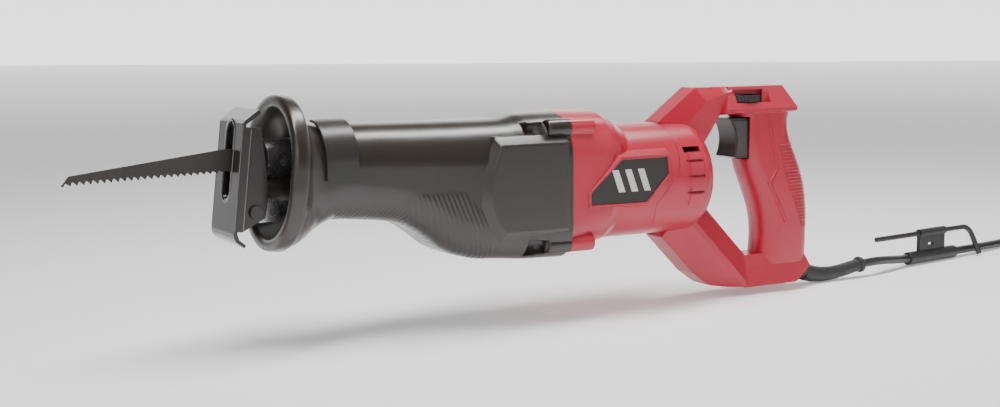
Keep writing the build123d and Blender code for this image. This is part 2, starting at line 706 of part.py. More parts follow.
def strain_relief():
    """Rubber sleeve that droops out of the foot and ends in a bead."""
    stations = [(-290.0, 4.0, 7.0), (-300.0, 1.2, 6.6), (-314.0, -0.2, 5.8), (-332.0, 1.2, 5.3),
                (-350.0, 4.1, 5.0)]
    rings = []
    for i, (x, z, r) in enumerate(stations):
        before = stations[max(i - 1, 0)]
        after = stations[min(i + 1, len(stations) - 1)]
        plane = Plane(origin=(x, 0, z), x_dir=(0, 1, 0), z_dir=(after[0] - before[0], 0, after[1] - before[1]))
        rings.append(plane * Circle(r))
    sleeve = loft(rings)
    plug = rod_x(7.0, -290.0, -279.6, 0, 6.2)
    bead = Pos(-351.0, 0, 4.3) * Rot(0, 9, 0) * Rot(0, 90, 0) * Cylinder(6.6, 4.2)
    bead = fillet(bead.edges().filter_by(GeomType.CIRCLE), 1.6)
    joint = Pos(-289.6, 0, 5.3) * Sphere(7.0)
    return sleeve + plug + bead + joint


# ---------------------------------------------------------------- cord, in the row's frame

COIL_X, COIL_Y = -608.0, -20.0
COIL_IN, COIL_OUT, COIL_TOP = 29.5, 52.5, 14.5

CORD_ROUTE = [(-325.0, -0.2, 10.6), (-338.0, -1.0, 11.2), (-354.0, -4.8, 10.5), (-373.0, -11.0, 8.4),
              (-395.0, -19.5, 6.0), (-432.5, -27.0, 5.5), (-470.5, -33.6, 5.4), (-512.0, -43.0, 4.6),
              (-551.0, -54.0, 3.7), (-582.0, -60.5, 3.6)]


def power_cord():
    """The stretch of cord between the strain relief and the coil."""
    points = [Vector(*p) for p in CORD_ROUTE]
    radii = []
    for a, b, c in zip(points, points[1:], points[2:]):
        turn = math.radians((b - a).get_angle(c - b))
        radii.append(0.45 * min((b - a).length, (c - b).length) / math.tan(turn / 2))
    line = FilletPolyline(*points, radius=radii)
    print("cord radii", [round(r) for r in radii], "length", round(line.length))
    start = points[0]
    plane = Plane(origin=start, z_dir=points[1] - points[0])
    tube = sweep(plane * Circle(cord_d / 2), path=line)
    print("cord volume ratio", tube.volume / (math.pi * cord_d ** 2 / 4 * line.length))
    return tube


def cord_coil():
    """Outer shape of the coiled rest of the cord."""
    return ring_z(COIL_OUT, COIL_IN, 0.0, COIL_TOP, COIL_X, COIL_Y)


def along_cord(point, length, r, angle_from, angle_to):
    """A cylinder centred on a point, pointing from one place towards another."""
    direction = Vector(*angle_to) - Vector(*angle_from)
    return Plane(origin=point, z_dir=direction) * Cylinder(r, length)


def key_holder():
    """Rubber clip: a barrel on the cord, a thin web, and a smaller barrel for the key."""
    a, b = (-395.0, -19.5, 6.0), (-470.5, -33.6, 5.4)
    middle = (-431.5, -26.6, 5.6)
    axis = Vector(*b) - Vector(*a)
    plane = Plane(origin=middle, x_dir=(0, 0, 1), z_dir=axis)
    barrel = plane * Cylinder(5.5, 70.0)
    barrel = fillet(barrel.edges().filter_by(GeomType.CIRCLE), 1.2)
    web = plane * (Pos(11.0, 0, 0) * Box(18.0, 3.0, 38.0))
    slot = plane * (Pos(10.5, 0, -2.0) * Box(2.4, 10.0, 8.0))
    upper = plane * (Pos(20.5, 0, 0) * Cylinder(3.6, 38.0))
    holes = plane * (Pos(20.5, 0, 0) * Cylinder(2.35, 60.0)) + plane * Cylinder(3.8, 90.0)
    return barrel + web + upper - slot - holes


def hex_key():
    """L-shaped hexagon key, 4 mm across the flats."""
    a, b = (-395.0, -19.5, 6.0), (-470.5, -33.6, 5.4)
    middle = Vector(-431.5, -26.6, 5.6)
    axis = (Vector(*b) - Vector(*a)).normalized()
    plane = Plane(origin=middle, x_dir=(0, 0, 1), z_dir=axis)
    up = plane.x_dir
    centre = middle + up * 20.5
    left = centre - axis * 80.0
    corner = centre + axis * 58.0
    short = corner - up * 24.0 + Vector(0.0, 11.0, 0.0) + axis * 4.0
    line = FilletPolyline(left, corner, short, radius=9.0)
    start = Plane(origin=left, z_dir=corner - left)
    return sweep(start * RegularPolygon(1.95, 6, major_radius=False), path=line)


def plug_body():
    """Moulded two-pin plug that lies beside the coil."""
    body = box(-678.0, -654.0, 52.0, 88.0, 0.0, 18.0)
    body = fillet(body.edges(), 3.5)
    neck = rod_y(5.4, 38.0, 53.0, -666.0, 6.6)
    return body + neck


def plug_pins():
    pins = []
    for x in (-672.35, -659.65):
        pins.append(box(x - 0.75, x + 0.75, 88.1, 104.5, 5.8, 12.2))
    return pins


def cord_tail():
    """Short end of the cord from the coil down to the plug."""
    points = [Vector(-658.0, -6.0, 7.2), Vector(-664.0, 10.0, 7.0), Vector(-666.0, 24.0, 6.8),
              Vector(-666.0, 38.0, 6.6)]
    radii = []
    for a, b, c in zip(points, points[1:], points[2:]):
        turn = math.radians((b - a).get_angle(c - b))
        radii.append(0.45 * min((b - a).length, (c - b).length) / math.tan(turn / 2))
    line = FilletPolyline(*points, radius=radii)
    plane = Plane(origin=points[0], z_dir=points[1] - points[0])
    return sweep(plane * Circle(cord_d / 2), path=line)


def export(name, shape, shift=(origin_x, 0, floor_drop)):
    """Write one node in the row's frame."""
    pieces = shape if isinstance(shape, (list, ShapeList)) else [shape]
    solids = []
    for piece in pieces:
        solids.extend(piece.solids())
    moved = [Pos(*shift) * solid for solid in solids]
    result = moved[0] if len(moved) == 1 else Compound(children=moved)
    export_step(result, "parts/" + name + ".step")


TOOL_PARTS = [blade, blade_clamp, clamp_screw, plunger, front_bushing, plunger_seal, rear_bushing, crank_gear,
              crank_pin, gear_shaft, gear_bearings, pinion, armature_shaft, armature_core, armature_windings,
              commutator, cooling_fan, motor_bearings, field_stator, field_coils, end_bracket, brush_holders,
              brushes, brush_springs, gear_housing, bearing_cover, front_cover, shoe_lock_lever, shoe, shoe_bar,
              shoe_pivot_pin, motor_housing, side_labels, cover_screws, handle_left, handle_right, trigger,
              trigger_spring, switch_body, speed_wheel, speed_control, inner_cord, cord_clamp, handle_screws,
              strain_relief]

CORD_PARTS = [power_cord, cord_coil, cord_tail, key_holder, hex_key, plug_body, plug_pins]

for part in TOOL_PARTS:
    export(part.__name__, part())
for part in CORD_PARTS:
    export(part.__name__, part(), (0, 0, 0))
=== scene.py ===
import math

import bmesh
import bpy
import numpy as np
from mathutils import Matrix, Vector
from mathutils.bvhtree import BVHTree


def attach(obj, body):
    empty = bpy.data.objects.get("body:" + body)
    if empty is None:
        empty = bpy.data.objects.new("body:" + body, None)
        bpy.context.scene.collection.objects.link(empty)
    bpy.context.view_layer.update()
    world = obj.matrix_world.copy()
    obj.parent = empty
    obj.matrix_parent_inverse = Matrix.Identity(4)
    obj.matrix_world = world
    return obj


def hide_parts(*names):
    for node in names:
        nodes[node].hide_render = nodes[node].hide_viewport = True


# Corded reciprocating saw. Shapes below are written in millimetres from the foot of the handle,
# as in the CAD source, and moved into the row's frame by place().
ORIGIN_X = 28.0
FLOOR_DROP = 6.0
MM = 0.001


def place(x, y, z):
    return Vector(((x + ORIGIN_X) * MM, y * MM, (z + FLOOR_DROP) * MM))


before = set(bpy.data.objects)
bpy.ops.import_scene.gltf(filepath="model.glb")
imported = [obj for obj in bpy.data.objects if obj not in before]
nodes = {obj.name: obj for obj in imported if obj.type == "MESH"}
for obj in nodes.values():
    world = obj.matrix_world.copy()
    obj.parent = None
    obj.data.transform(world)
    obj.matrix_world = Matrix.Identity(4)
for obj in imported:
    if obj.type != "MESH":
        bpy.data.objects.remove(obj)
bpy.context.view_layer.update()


# ---------------------------------------------------------------- materials

TONE_SCALE = 22.0
GRAIN_DEPTH = 0.0004
ROUGH_SPREAD = 0.05


def material(name, color, rough, metallic=0.0, coat=0.0, grain=0.04, grain_scale=1500.0, tint=0.05,
             edge=0.0):
    """A surface with a fine grain, a slow change of tone and, where asked, softly broken edges."""
    mat = bpy.data.materials.new(name)
    mat.use_nodes = True
    tree = mat.node_tree
    shader = tree.nodes["Principled BSDF"]
    shader.inputs["Metallic"].default_value = metallic
    shader.inputs["Coat Weight"].default_value = coat
    shader.inputs["Coat Roughness"].default_value = 0.25
    shader.inputs["Specular IOR Level"].default_value = 0.5
    place_node = tree.nodes.new("ShaderNodeTexCoord")
    tone = tree.nodes.new("ShaderNodeTexNoise")
    tone.inputs["Scale"].default_value = TONE_SCALE
    tone.inputs["Detail"].default_value = 3.0
    tree.links.new(place_node.outputs["Object"], tone.inputs["Vector"])
    ramp = tree.nodes.new("ShaderNodeValToRGB")
    ramp.color_ramp.elements[0].position = 0.3
    ramp.color_ramp.elements[1].position = 0.7
    ramp.color_ramp.elements[0].color = [c * (1 - tint) for c in color] + [1.0]
    ramp.color_ramp.elements[1].color = [min(1.0, c * (1 + tint)) for c in color] + [1.0]
    tree.links.new(tone.outputs["Fac"], ramp.inputs["Fac"])
    tree.links.new(ramp.outputs["Color"], shader.inputs["Base Color"])
    speck = tree.nodes.new("ShaderNodeTexNoise")
    speck.inputs["Scale"].default_value = grain_scale
    speck.inputs["Detail"].default_value = 2.0
    tree.links.new(place_node.outputs["Object"], speck.inputs["Vector"])
    gloss = tree.nodes.new("ShaderNodeMapRange")
    gloss.inputs["To Min"].default_value = max(0.03, rough - ROUGH_SPREAD)
    gloss.inputs["To Max"].default_value = rough + ROUGH_SPREAD
    tree.links.new(speck.outputs["Fac"], gloss.inputs["Value"])
    tree.links.new(gloss.outputs["Result"], shader.inputs["Roughness"])
    bump = tree.nodes.new("ShaderNodeBump")
    bump.inputs["Strength"].default_value = grain
    bump.inputs["Distance"].default_value = GRAIN_DEPTH
    tree.links.new(speck.outputs["Fac"], bump.inputs["Height"])
    if edge > 0:
        soften = tree.nodes.new("ShaderNodeBevel")
        soften.samples = 6
        soften.inputs["Radius"].default_value = edge * MM
        tree.links.new(soften.outputs["Normal"], bump.inputs["Normal"])
    tree.links.new(bump.outputs["Normal"], shader.inputs["Normal"])
    return mat


RED = material("red_plastic", (0.44, 0.014, 0.038), 0.32, grain=0.05, edge=1.1, coat=0.15)
BLACK = material("black_plastic", (0.026, 0.022, 0.019), 0.36, grain=0.06, edge=0.8, coat=0.10)
BOOT = material("boot_rubber", (0.026, 0.020, 0.016), 0.30, grain=0.035, coat=0.35, edge=0.5)
GREY = material("grey_plastic", (0.16, 0.16, 0.16), 0.45, grain=0.06, edge=0.3)
DARK = material("dark_panel", (0.050, 0.047, 0.044), 0.5, grain=0.05, edge=0.3)
LABEL = material("label_film", (0.024, 0.022, 0.018), 0.36, grain=0.03, edge=0.3)
MARK = material("label_mark", (0.62, 0.60, 0.58), 0.45, grain=0.02)
SHOE = material("shoe_steel", (0.022, 0.019, 0.018), 0.20, metallic=0.35, coat=0.5, grain=0.02, edge=0.8)
# Bright steel for the shoe's slot lip and the beads on its bend and joggle: painted highlights along these
# edges
SHOE_HIGHLIGHT = material("painted_highlight_steel", (0.20, 0.19, 0.19), 0.22, metallic=0.9, grain=0.02)
BLADE = material("blade_steel", (0.040, 0.036, 0.034), 0.42, metallic=0.3, grain=0.10, edge=0.15)
STEEL = material("bright_steel", (0.60, 0.60, 0.61), 0.26, metallic=1.0, grain=0.03, edge=0.3)
GEAR = material("gear_steel", (0.34, 0.34, 0.35), 0.35, metallic=1.0, grain=0.06, edge=0.2)
CLAMP = material("clamp_steel", (0.16, 0.15, 0.15), 0.28, metallic=0.9, grain=0.04, edge=0.5)
CAST = material("cast_metal", (0.42, 0.42, 0.43), 0.45, metallic=0.9, grain=0.05, grain_scale=700.0)
BRONZE = material("bronze", (0.50, 0.33, 0.15), 0.4, metallic=1.0, grain=0.08)
COPPER = material("copper_wire", (0.60, 0.26, 0.13), 0.35, metallic=0.9, grain=0.25, grain_scale=500.0)
CORE = material("core_steel", (0.26, 0.26, 0.27), 0.5, metallic=0.9, grain=0.15)
BRASS = material("brass", (0.68, 0.53, 0.24), 0.28, metallic=1.0, grain=0.03, edge=0.2)
CARBON = material("carbon", (0.04, 0.04, 0.04), 0.7, grain=0.15)
CORD = material("cord_pvc", (0.022, 0.021, 0.021), 0.40, grain=0.05)
RUBBER = material("black_rubber", (0.025, 0.024, 0.024), 0.48, grain=0.07, edge=0.4)

PAINT = {
    RED: ["motor_housing", "handle_left", "handle_right"],
    BLACK: ["shoe_lock_lever", "trigger", "speed_wheel", "switch_body", "speed_control", "cord_clamp"],
    BOOT: ["front_cover"],
    GREY: ["cooling_fan", "end_bracket"],
    LABEL: ["side_labels"],
    SHOE: ["shoe", "shoe_pivot_pin"],
    BLADE: ["blade", "hex_key", "cover_screws", "handle_screws"],
    STEEL: ["plunger", "crank_pin", "gear_shaft", "gear_bearings", "armature_shaft", "motor_bearings",
            "brush_springs", "bearing_cover", "shoe_bar", "trigger_spring"],
    GEAR: ["crank_gear", "pinion"],
    CLAMP: ["blade_clamp", "clamp_screw"],
    CAST: ["gear_housing"],
    BRONZE: ["front_bushing", "rear_bushing"],
    COPPER: ["armature_windings", "field_coils", "commutator"],
    CORE: ["armature_core", "field_stator"],
    BRASS: ["brush_holders", "plug_pins"],
    CARBON: ["brushes"],
    CORD: ["inner_cord", "power_cord", "cord_coil", "cord_tail"],
    RUBBER: ["plunger_seal", "strain_relief", "key_holder", "plug_body"],
}
for mat, names in PAINT.items():
    for name in names:
        nodes[name].data.materials.clear()
        nodes[name].data.materials.append(mat)


# ---------------------------------------------------------------- mesh helpers

def mesh_piece(name, verts, faces, mat, body="frame", smooth=True):
    """A visible mesh that moves with a body, in a colour of its own."""
    data = bpy.data.meshes.new(name)
    data.from_pydata([tuple(v) for v in verts], [], faces)
    data.update()
    piece = bpy.data.objects.new(name, data)
    bpy.context.collection.objects.link(piece)
    data.materials.append(mat)
    for face in data.polygons:
        face.use_smooth = smooth
    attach(piece, body)
    return piece


def ring_faces(count, around, closed=False):
    """Quads between rings of the same number of points."""
    faces = []
    for i in range(count if closed else count - 1):
        j = (i + 1) % count
        for k in range(around):
            n = (k + 1) % around
            faces.append((i * around + k, i * around + n, j * around + n, j * around + k))
    return faces


def flat_piece(name, outline, y0, y1, mat, body, bevel=0.0):
    """A plate cut to a side outline of (x, z) points, between two y."""
    count = len(outline)
    verts = [place(x, y0, z) for x, z in outline] + [place(x, y1, z) for x, z in outline]
    faces = [tuple(range(count)), tuple(range(2 * count - 1, count - 1, -1))]
    faces += [(k, (k + 1) % count, (k + 1) % count + count, k + count) for k in range(count)]
    piece = mesh_piece(name, verts, faces, mat, body, smooth=False)
    fix_normals(piece)
    if bevel > 0:
        soften(piece, bevel)
    return piece


def fix_normals(piece):
    """Turns every face outwards."""
    work = bmesh.new()
    work.from_mesh(piece.data)
    bmesh.ops.recalc_face_normals(work, faces=work.faces)
    work.to_mesh(piece.data)
    work.free()


def soften(piece, width):
    """Small rounded edges, width in millimetres."""
    bevel = piece.modifiers.new("edge", "BEVEL")
    bevel.width = width * MM
    bevel.segments = 3
    bevel.limit_method = "ANGLE"
    bevel.angle_limit = math.radians(25)
    for face in piece.data.polygons:
        face.use_smooth = True
    normals = piece.modifiers.new("normals", "WEIGHTED_NORMAL")
    normals.keep_sharp = True


def tube(name, points, radius, mat, body="frame"):
    """A round bead along points in the row's frame."""
    data = bpy.data.curves.new(name, "CURVE")
    data.dimensions = "3D"
    data.bevel_depth = radius * MM
    data.bevel_resolution = 3
    data.use_fill_caps = True
    spline = data.splines.new("POLY")
    spline.points.add(len(points) - 1)
    for point, co in zip(spline.points, points):
        point.co = (co[0], co[1], co[2], 1.0)
    piece = bpy.data.objects.new(name, data)
    bpy.context.collection.objects.link(piece)
    data.materials.append(mat)
    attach(piece, body)
    return piece


def surface_of(name):
    """A searchable copy of a CAD node's surface."""
    data = nodes[name].data
    verts = [nodes[name].matrix_world @ v.co for v in data.vertices]
    return BVHTree.FromPolygons(verts, [tuple(p.vertices) for p in data.polygons])


# ---------------------------------------------------------------- front cover

# x, width, bottom, top, upper corner radius, lower corner radius
COVER_STATIONS = [
    (-43.0, 86.0, 39.6, 141.8, 30, 22), (-28.0, 85.6, 40.0, 141.8, 30, 22),
    (-13.0, 85.0, 40.4, 141.2, 30, 22), (-4.0, 84.0, 41.0, 139.4, 30, 23),
    (4.0, 83.0, 41.6, 138.4, 30, 24), (20.0, 80.0, 42.8, 138.2, 30, 25),
    (34.0, 77.0, 45.8, 138.2, 30, 26), (46.0, 73.5, 50.8, 138.2, 30, 26),
    (58.0, 70.0, 59.5, 138.2, 29, 25), (70.0, 67.0, 67.5, 138.3, 29, 24),
    (80.0, 65.0, 72.0, 138.5, 29, 24), (100.0, 63.0, 75.0, 138.8, 28, 24),
    (124.0, 62.5, 76.4, 139.0, 28, 26), (133.0, 62.8, 73.6, 139.2, 28, 26),
    (140.0, 64.2, 68.6, 140.6, 30, 30), (147.0, 69.0, 63.0, 144.5, 33, 33),
    (152.0, 76.0, 60.2, 150.0, 37, 37)]

# Rings of the collar's rim: offset forward, width, height, corner radius
COLLAR_RIM = [
    (-9.8, 83, 95.5, 41.4), (-10.6, 85, 97, 42.4), (-10.9, 86.5, 98.5, 43.2), (-10.4, 88.6, 100.6, 43.9),
    (-9.4, 89.6, 101.6, 44.4), (-8.0, 90.0, 102.0, 44.6), (-3.2, 90.0, 102.0, 44.6),
    (-1.6, 89.5, 101.5, 44.3), (-0.5, 88.4, 100.4, 43.8), (0.0, 86.6, 98.6, 43.0),
    (0.0, 78.0, 90.0, 38.8), (-0.4, 75.8, 87.8, 37.8), (-1.4, 74.2, 86.4, 37.0),
    (-3.0, 73.0, 85.0, 36.4), (-8.0, 70.0, 82.0, 34.8), (-13.0, 67.6, 78.0, 33.0)]

# Inside of the cover, from the mouth to the back: x, width, bottom, top, upper and lower corner radius
COVER_INSIDE = [
    (146.0, 64.0, 74.0, 140.6, 30, 30), (138.0, 58.5, 79.5, 136.0, 26, 26),
    (126.0, 55.4, 80.6, 135.2, 24, 24), (100.0, 55.0, 80.0, 135.0, 24, 22),
    (60.0, 58.0, 66.0, 132.0, 18, 22), (20.0, 67.0, 51.0, 130.6, 18, 22),
    (-43.0, 70.0, 47.0, 131.0, 24, 20)]
CORNER_STEPS = 26
SIDE_STEPS = 18
COLLAR_TILT = math.radians(5.0)
COLLAR_CENTRE = (164.5, 108.5)
RIB_PITCH = 3.3
SKIN_STEP = 0.6


def smooth_table(table, xs):
    """Values of a table at xs, by a monotone cubic through its rows."""
    table = np.array(table, float)
    x, rows = table[:, 0], table[:, 1:]
    step = np.diff(x)[:, None]
    slope = np.diff(rows, axis=0) / step
    tangent = np.zeros_like(rows)
    same = slope[:-1] * slope[1:] > 0
    mean = 2 * slope[:-1] * slope[1:] / np.where(same, slope[:-1] + slope[1:], 1.0)
    tangent[1:-1] = np.where(same, mean, 0.0)
    tangent[0], tangent[-1] = slope[0], slope[-1]
    out = []
    for value in xs:
        i = int(np.clip(np.searchsorted(x, value) - 1, 0, len(x) - 2))
        h = x[i + 1] - x[i]
        t = (value - x[i]) / h
        out.append((1 + 2 * t) * (1 - t) ** 2 * rows[i] + t * (1 - t) ** 2 * h * tangent[i]
                   + t * t * (3 - 2 * t) * rows[i + 1] + t * t * (t - 1) * h * tangent[i + 1])
    return out


def rounded_ring(width, low, high, r_top, r_low):
    """Points (y, z) round a rounded rectangle, starting at the lower right side."""
    half = width / 2
    corners = [(half, low, r_low, -90), (half, high, r_top, 0), (-half, high, r_top, 90),
               (-half, low, r_low, 180)]
    ring = []
    for y, z, r, start in corners:
        r = min(r, half - 0.2, (high - low) / 2 - 0.2)
        cy = y - math.copysign(r, y)
        cz = z + r if z == low else z - r
        turns = [math.radians(start + 90 * k / CORNER_STEPS) for k in range(CORNER_STEPS + 1)]
        arc = [(cy + r * math.cos(turn), cz + r * math.sin(turn)) for turn in turns]
        ring += arc
    full = []
    for k in range(4):
        arc = ring[k * (CORNER_STEPS + 1):(k + 1) * (CORNER_STEPS + 1)]
        after = ring[((k + 1) % 4) * (CORNER_STEPS + 1)]
        full += arc
        last = arc[-1]
        full += [(last[0] + (after[0] - last[0]) * j / SIDE_STEPS,
                  last[1] + (after[1] - last[1]) * j / SIDE_STEPS) for j in range(1, SIDE_STEPS)]
    return full


def collar_ring(offset, width, height, r):
    """A ring on the raked plane of the collar. Larger offsets lie further forward."""
    cx = COLLAR_CENTRE[0] + offset * math.cos(COLLAR_TILT)
    cz = COLLAR_CENTRE[1] + offset * math.sin(COLLAR_TILT)
    ring = rounded_ring(width, -height / 2, height / 2, r, r)
    return [(cx - v * math.sin(COLLAR_TILT), u, cz + v * math.cos(COLLAR_TILT)) for u, v in ring]


def rib_height(x, z):
    """Slanting grip ribs low on the neck, and round the belly's shoulder."""
    neck_ends = np.clip((x - 74.0) / 4.0, 0, 1) * np.clip((128.0 - x) / 4.0, 0, 1)
    neck = np.clip((88.0 - z) / 2.0, 0, 1) * neck_ends
    belly_top = 91.5 - max(0.0, 40.0 - x) * 1.1
    belly_ends = np.clip((x - 14.0) / 4.0, 0, 1) * np.clip((80.0 - x) / 4.0, 0, 1)
    belly = np.clip((belly_top - z) / 2.0, 0, 1) * belly_ends
    neck_wave = 0.5 + 0.5 * math.cos(2 * math.pi * (x + 0.55 * z) / RIB_PITCH)
    belly_wave = 0.5 + 0.5 * math.cos(2 * math.pi * (x - 0.40 * z) / RIB_PITCH)
    return 0.55 * neck * neck_wave ** 1.5 + 0.45 * belly * belly_wave ** 1.5


def front_cover():
    """The boot over the gears, from the motor to the collar, as one smooth closed skin."""
    rings = []
    xs = np.arange(-43.0, 152.1, SKIN_STEP)
    for x, (width, low, high, r_top, r_low) in zip(xs, smooth_table(COVER_STATIONS, xs)):
        ring = []
        middle = (low + high) / 2
        for y, z in rounded_ring(width, low, high, r_top, r_low):
            push = rib_height(x, z)
            away = Vector((y, z - middle)).normalized()
            ring.append((x, y + away.x * push, z + away.y * push))
        rings.append(ring)
    rings += [collar_ring(*row) for row in COLLAR_RIM]
    for x, width, low, high, r_top, r_low in COVER_INSIDE:
        rings.append([(x, y, z) for y, z in rounded_ring(width, low, high, r_top, r_low)])
    around = len(rings[0])
    verts = [place(*p) for ring in rings for p in ring]
    cover = mesh_piece("cover_skin", verts, ring_faces(len(rings), around, closed=True), BOOT)
    fix_normals(cover)
    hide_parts("front_cover")
    return cover


def cut(piece, cutter):
    """Takes the cutter's shape out of the piece."""
    taken = piece.modifiers.new("cut", "BOOLEAN")
    taken.object = cutter
    taken.operation = "DIFFERENCE"
    taken.solver = "EXACT"
    graph = bpy.context.evaluated_depsgraph_get()
    data = bpy.data.meshes.new_from_object(piece.evaluated_get(graph))
    piece.modifiers.remove(taken)
    piece.data = data
    bpy.data.objects.remove(cutter)


def turned_x(profile, y, z, steps):
    """Points of a profile of (x, r) turned about a line along X."""
    turns = [2 * math.pi * k / steps for k in range(steps)]
    return [place(x, y + r * math.cos(turn), z + r * math.sin(turn)) for x, r in profile for turn in turns]


def cone_x(x0, x1, r0, r1, y, z, steps=40):
    """Vertices and faces of a closed cone along X."""
    verts = turned_x([(x0, r0), (x1, r1)], y, z, steps)
    faces = ring_faces(2, steps)
    faces.append(tuple(range(steps)))
    faces.append(tuple(range(2 * steps - 1, steps - 1, -1)))
    return verts, faces


# Outline of a side pad at its foot and at its face, as (x, z)
PAD_LOW = [(17.0, 128.0), (27.5, 104.5), (29.5, 80.5), (23.0, 62.0), (13.5, 54.5), (-40.5, 54.5),
           (-40.5, 128.0)]
PAD_TOP = [(14.4, 121.9), (21.7, 102.1), (21.9, 81.9), (17.4, 68.6), (10.5, 62.2), (-39.2, 62.2),
           (-39.2, 121.9)]
PAD_INNER_Y, PAD_FOOT_Y, PAD_FACE_Y = 30.0, 37.5, 44.4
# Middles of the four corner bosses, as (y, z)
BOSS_STEPS = 48
BOSSES = [(side * 35.0, z) for side in (1, -1) for z in (131.5, 50.8)]


def side_pads():
    """The raised flat pad on each side of the boot."""
    for side, name in ((1, "left"), (-1, "right")):
        verts = [place(x, side * PAD_FOOT_Y, z) for x, z in PAD_LOW]
        verts += [place(x, side * PAD_FACE_Y, z) for x, z in PAD_TOP]
        verts += [place(x, side * PAD_INNER_Y, z) for x, z in PAD_LOW]
        count = len(PAD_LOW)
        faces = ring_faces(2, count) + [(2 * count + k, 2 * count + (k + 1) % count, (k + 1) % count, k)
                                        for k in range(count)]
        faces += [tuple(range(count, 2 * count)), tuple(range(3 * count - 1, 2 * count - 1, -1))]
        pad = mesh_piece("pad_" + name, verts, faces, BOOT)
        fix_normals(pad)
        soften(pad, 1.1)


def cover_bosses():
    """Corner bosses with a screw well, one in each scoop."""
    profile = [(-43.0, 6.5), (-26.2, 6.5), (-25.2, 6.1), (-24.9, 5.4), (-25.1, 4.5), (-35.2, 4.4),
               (-35.2, 0.05)]
    for i, (y, z) in enumerate(BOSSES):
        verts = turned_x(profile, y, z, BOSS_STEPS)
        boss = mesh_piece("boss_%d" % (i + 1), verts, ring_faces(len(profile), BOSS_STEPS), BOOT)
        fix_normals(boss)


cover = front_cover()
for y, z in BOSSES:
    verts, faces = cone_x(-25.0, -8.0, 6.3, 8.6, y * 1.03, z)
    cutter = mesh_piece("cutter", verts, faces, BOOT)
    fix_normals(cutter)
    cut(cover, cutter)
side_pads()
cover_bosses()


# ---------------------------------------------------------------- grip details

left_surface = surface_of("handle_left")
right_surface = surface_of("handle_right")


def grip_centre(z):
    return float(np.interp(z, [14, 36, 62, 88, 112, 135], [-261.5, -262.5, -260.0, -251.5, -243.5, -241.5]))


def on_grip(z, angle):
    """Point of the grip's surface at a height, seen from its middle. 0 is forwards, 90 is the left side."""
    start = place(grip_centre(z), 0.0, z)
    outward = Vector((math.cos(math.radians(angle)), math.sin(math.radians(angle)), 0.0))
    tree = left_surface if outward.y >= 0 else right_surface
    hit = tree.ray_cast(start + outward * 0.08, -outward)
    return hit[0]


def on_side(x, z, side=1):
    """Point of the handle's flank straight out from (x, z)."""
    tree = left_surface if side > 0 else right_surface
    hit = tree.ray_cast(place(x, side * 80.0, z), Vector((0.0, -side, 0.0)))
    return hit[0]


def grip_ribs():
    """Fine ribs round the back of the grip."""
    z = 44.0
    count = 0
    while z < 128.5:
        reach = float(np.interp(z, [44, 62, 88, 108, 128], [128, 112, 102, 112, 120]))
        points = [on_grip(z, a) for a in np.linspace(reach, 360.0 - reach, 31)]
        count = count + 1
        if None not in points:
            tube("grip_rib_%d" % count, points, 0.7, RED)
        z = z + 2.6


def grip_lines():
    """Raised outline of the grip's side panel."""
    path = [(-236.2, 130.5), (-240.5, 125.6), (-240.5, 121.0), (-247.5, 92.5), (-247.5, 89.5),
            (-239.5, 79.5), (-258.5, 45.0)]
    for side, word in ((1, "left"), (-1, "right")):
        for shift, radius in ((0.0, 0.7), (-3.2, 0.45)):
            points = []
            for a, b in zip(path, path[1:]):
                for t in np.linspace(0, 1, 12, endpoint=False):
                    points.append(on_side(a[0] + (b[0] - a[0]) * t + shift, a[1] + (b[1] - a[1]) * t, side))
            points = [p for p in points if p is not None]
            number = 1 if shift == 0 else 2
            tube("grip_line_%s_%d" % (word, number), points, radius, RED)


def cap_louvres():
    """Raised wedges between the grooves of the end cap."""
    rows = [(109.0, 104.2), (102.4, 93.6), (91.4, 81.8), (79.6, 71.0)]
    for side, word in ((1, "left"), (-1, "right")):
        for i, (top, low) in enumerate(rows):
            verts = []
            for x, lift in ((-145.6, -0.4), (-146.4, 1.1), (-158.2, 0.7), (-160.4, -0.4)):
                for z in np.linspace(top, low, 7):
                    verts.append(on_cap(x, z, side, lift))
            faces = []
            for a in range(3):
                for b in range(6):
                    faces.append((a * 7 + b, a * 7 + b + 1, a * 7 + b + 8, a * 7 + b + 7))
            count = len(verts)
            verts += [v - Vector((0.0, side * 1.6 * MM, 0.0)) for v in verts]
            faces += [tuple(count + k for k in reversed(face)) for face in faces]
            rim = list(range(7)) + [13, 20] + list(range(27, 20, -1)) + [14, 7]
            faces += [(rim[k], rim[(k + 1) % len(rim)], rim[(k + 1) % len(rim)] + count, rim[k] + count)
                      for k in range(len(rim))]
            plate = mesh_piece("louvre_%s_%d" % (word, i + 1), verts, faces, RED, smooth=False)
            fix_normals(plate)


def on_cap(x, z, side, lift):
    """Point of the end cap's barrel, lifted off its surface."""
    r = 41.5 + lift
    rise = z - 88.5
    return place(x, side * math.sqrt(r * r - rise * rise), z)


grip_ribs()
grip_lines()
cap_louvres()


# ---------------------------------------------------------------- trigger and label details

BAR_STEP = 11.0

for side, word in ((1, "left"), (-1, "right")):
    panel = [(-208.6, 128.4), (-211.6, 121.8), (-213.4, 114.0), (-212.6, 106.5), (-210.6, 101.6),
             (-223.0, 101.6), (-223.0, 128.4)]
    flat_piece("trigger_panel_" + word, panel, side * 10.0, side * 10.75, DARK, "trigger_piece", bevel=0.35)
    for i in range(3):
        x = -76.0 - BAR_STEP * i
        bar = [(x, 100.6), (x - 5.4, 100.6), (x - 11.4, 84.6), (x - 6.0, 84.6)]
        flat_piece("label_bar_%s_%d" % (word, i + 1), bar, side * 42.1, side * 42.5, MARK, "frame",
                   bevel=0.1)


# ---------------------------------------------------------------- shoe details

def shoe_point(forward, y, up):
    """A point given on the shoe's own plate, before its tilt."""
    lean = math.radians(-6.5)
    return place(192.2 + forward * math.cos(lean) + up * math.sin(lean), y,
                 108.0 - forward * math.sin(lean) + up * math.cos(lean))


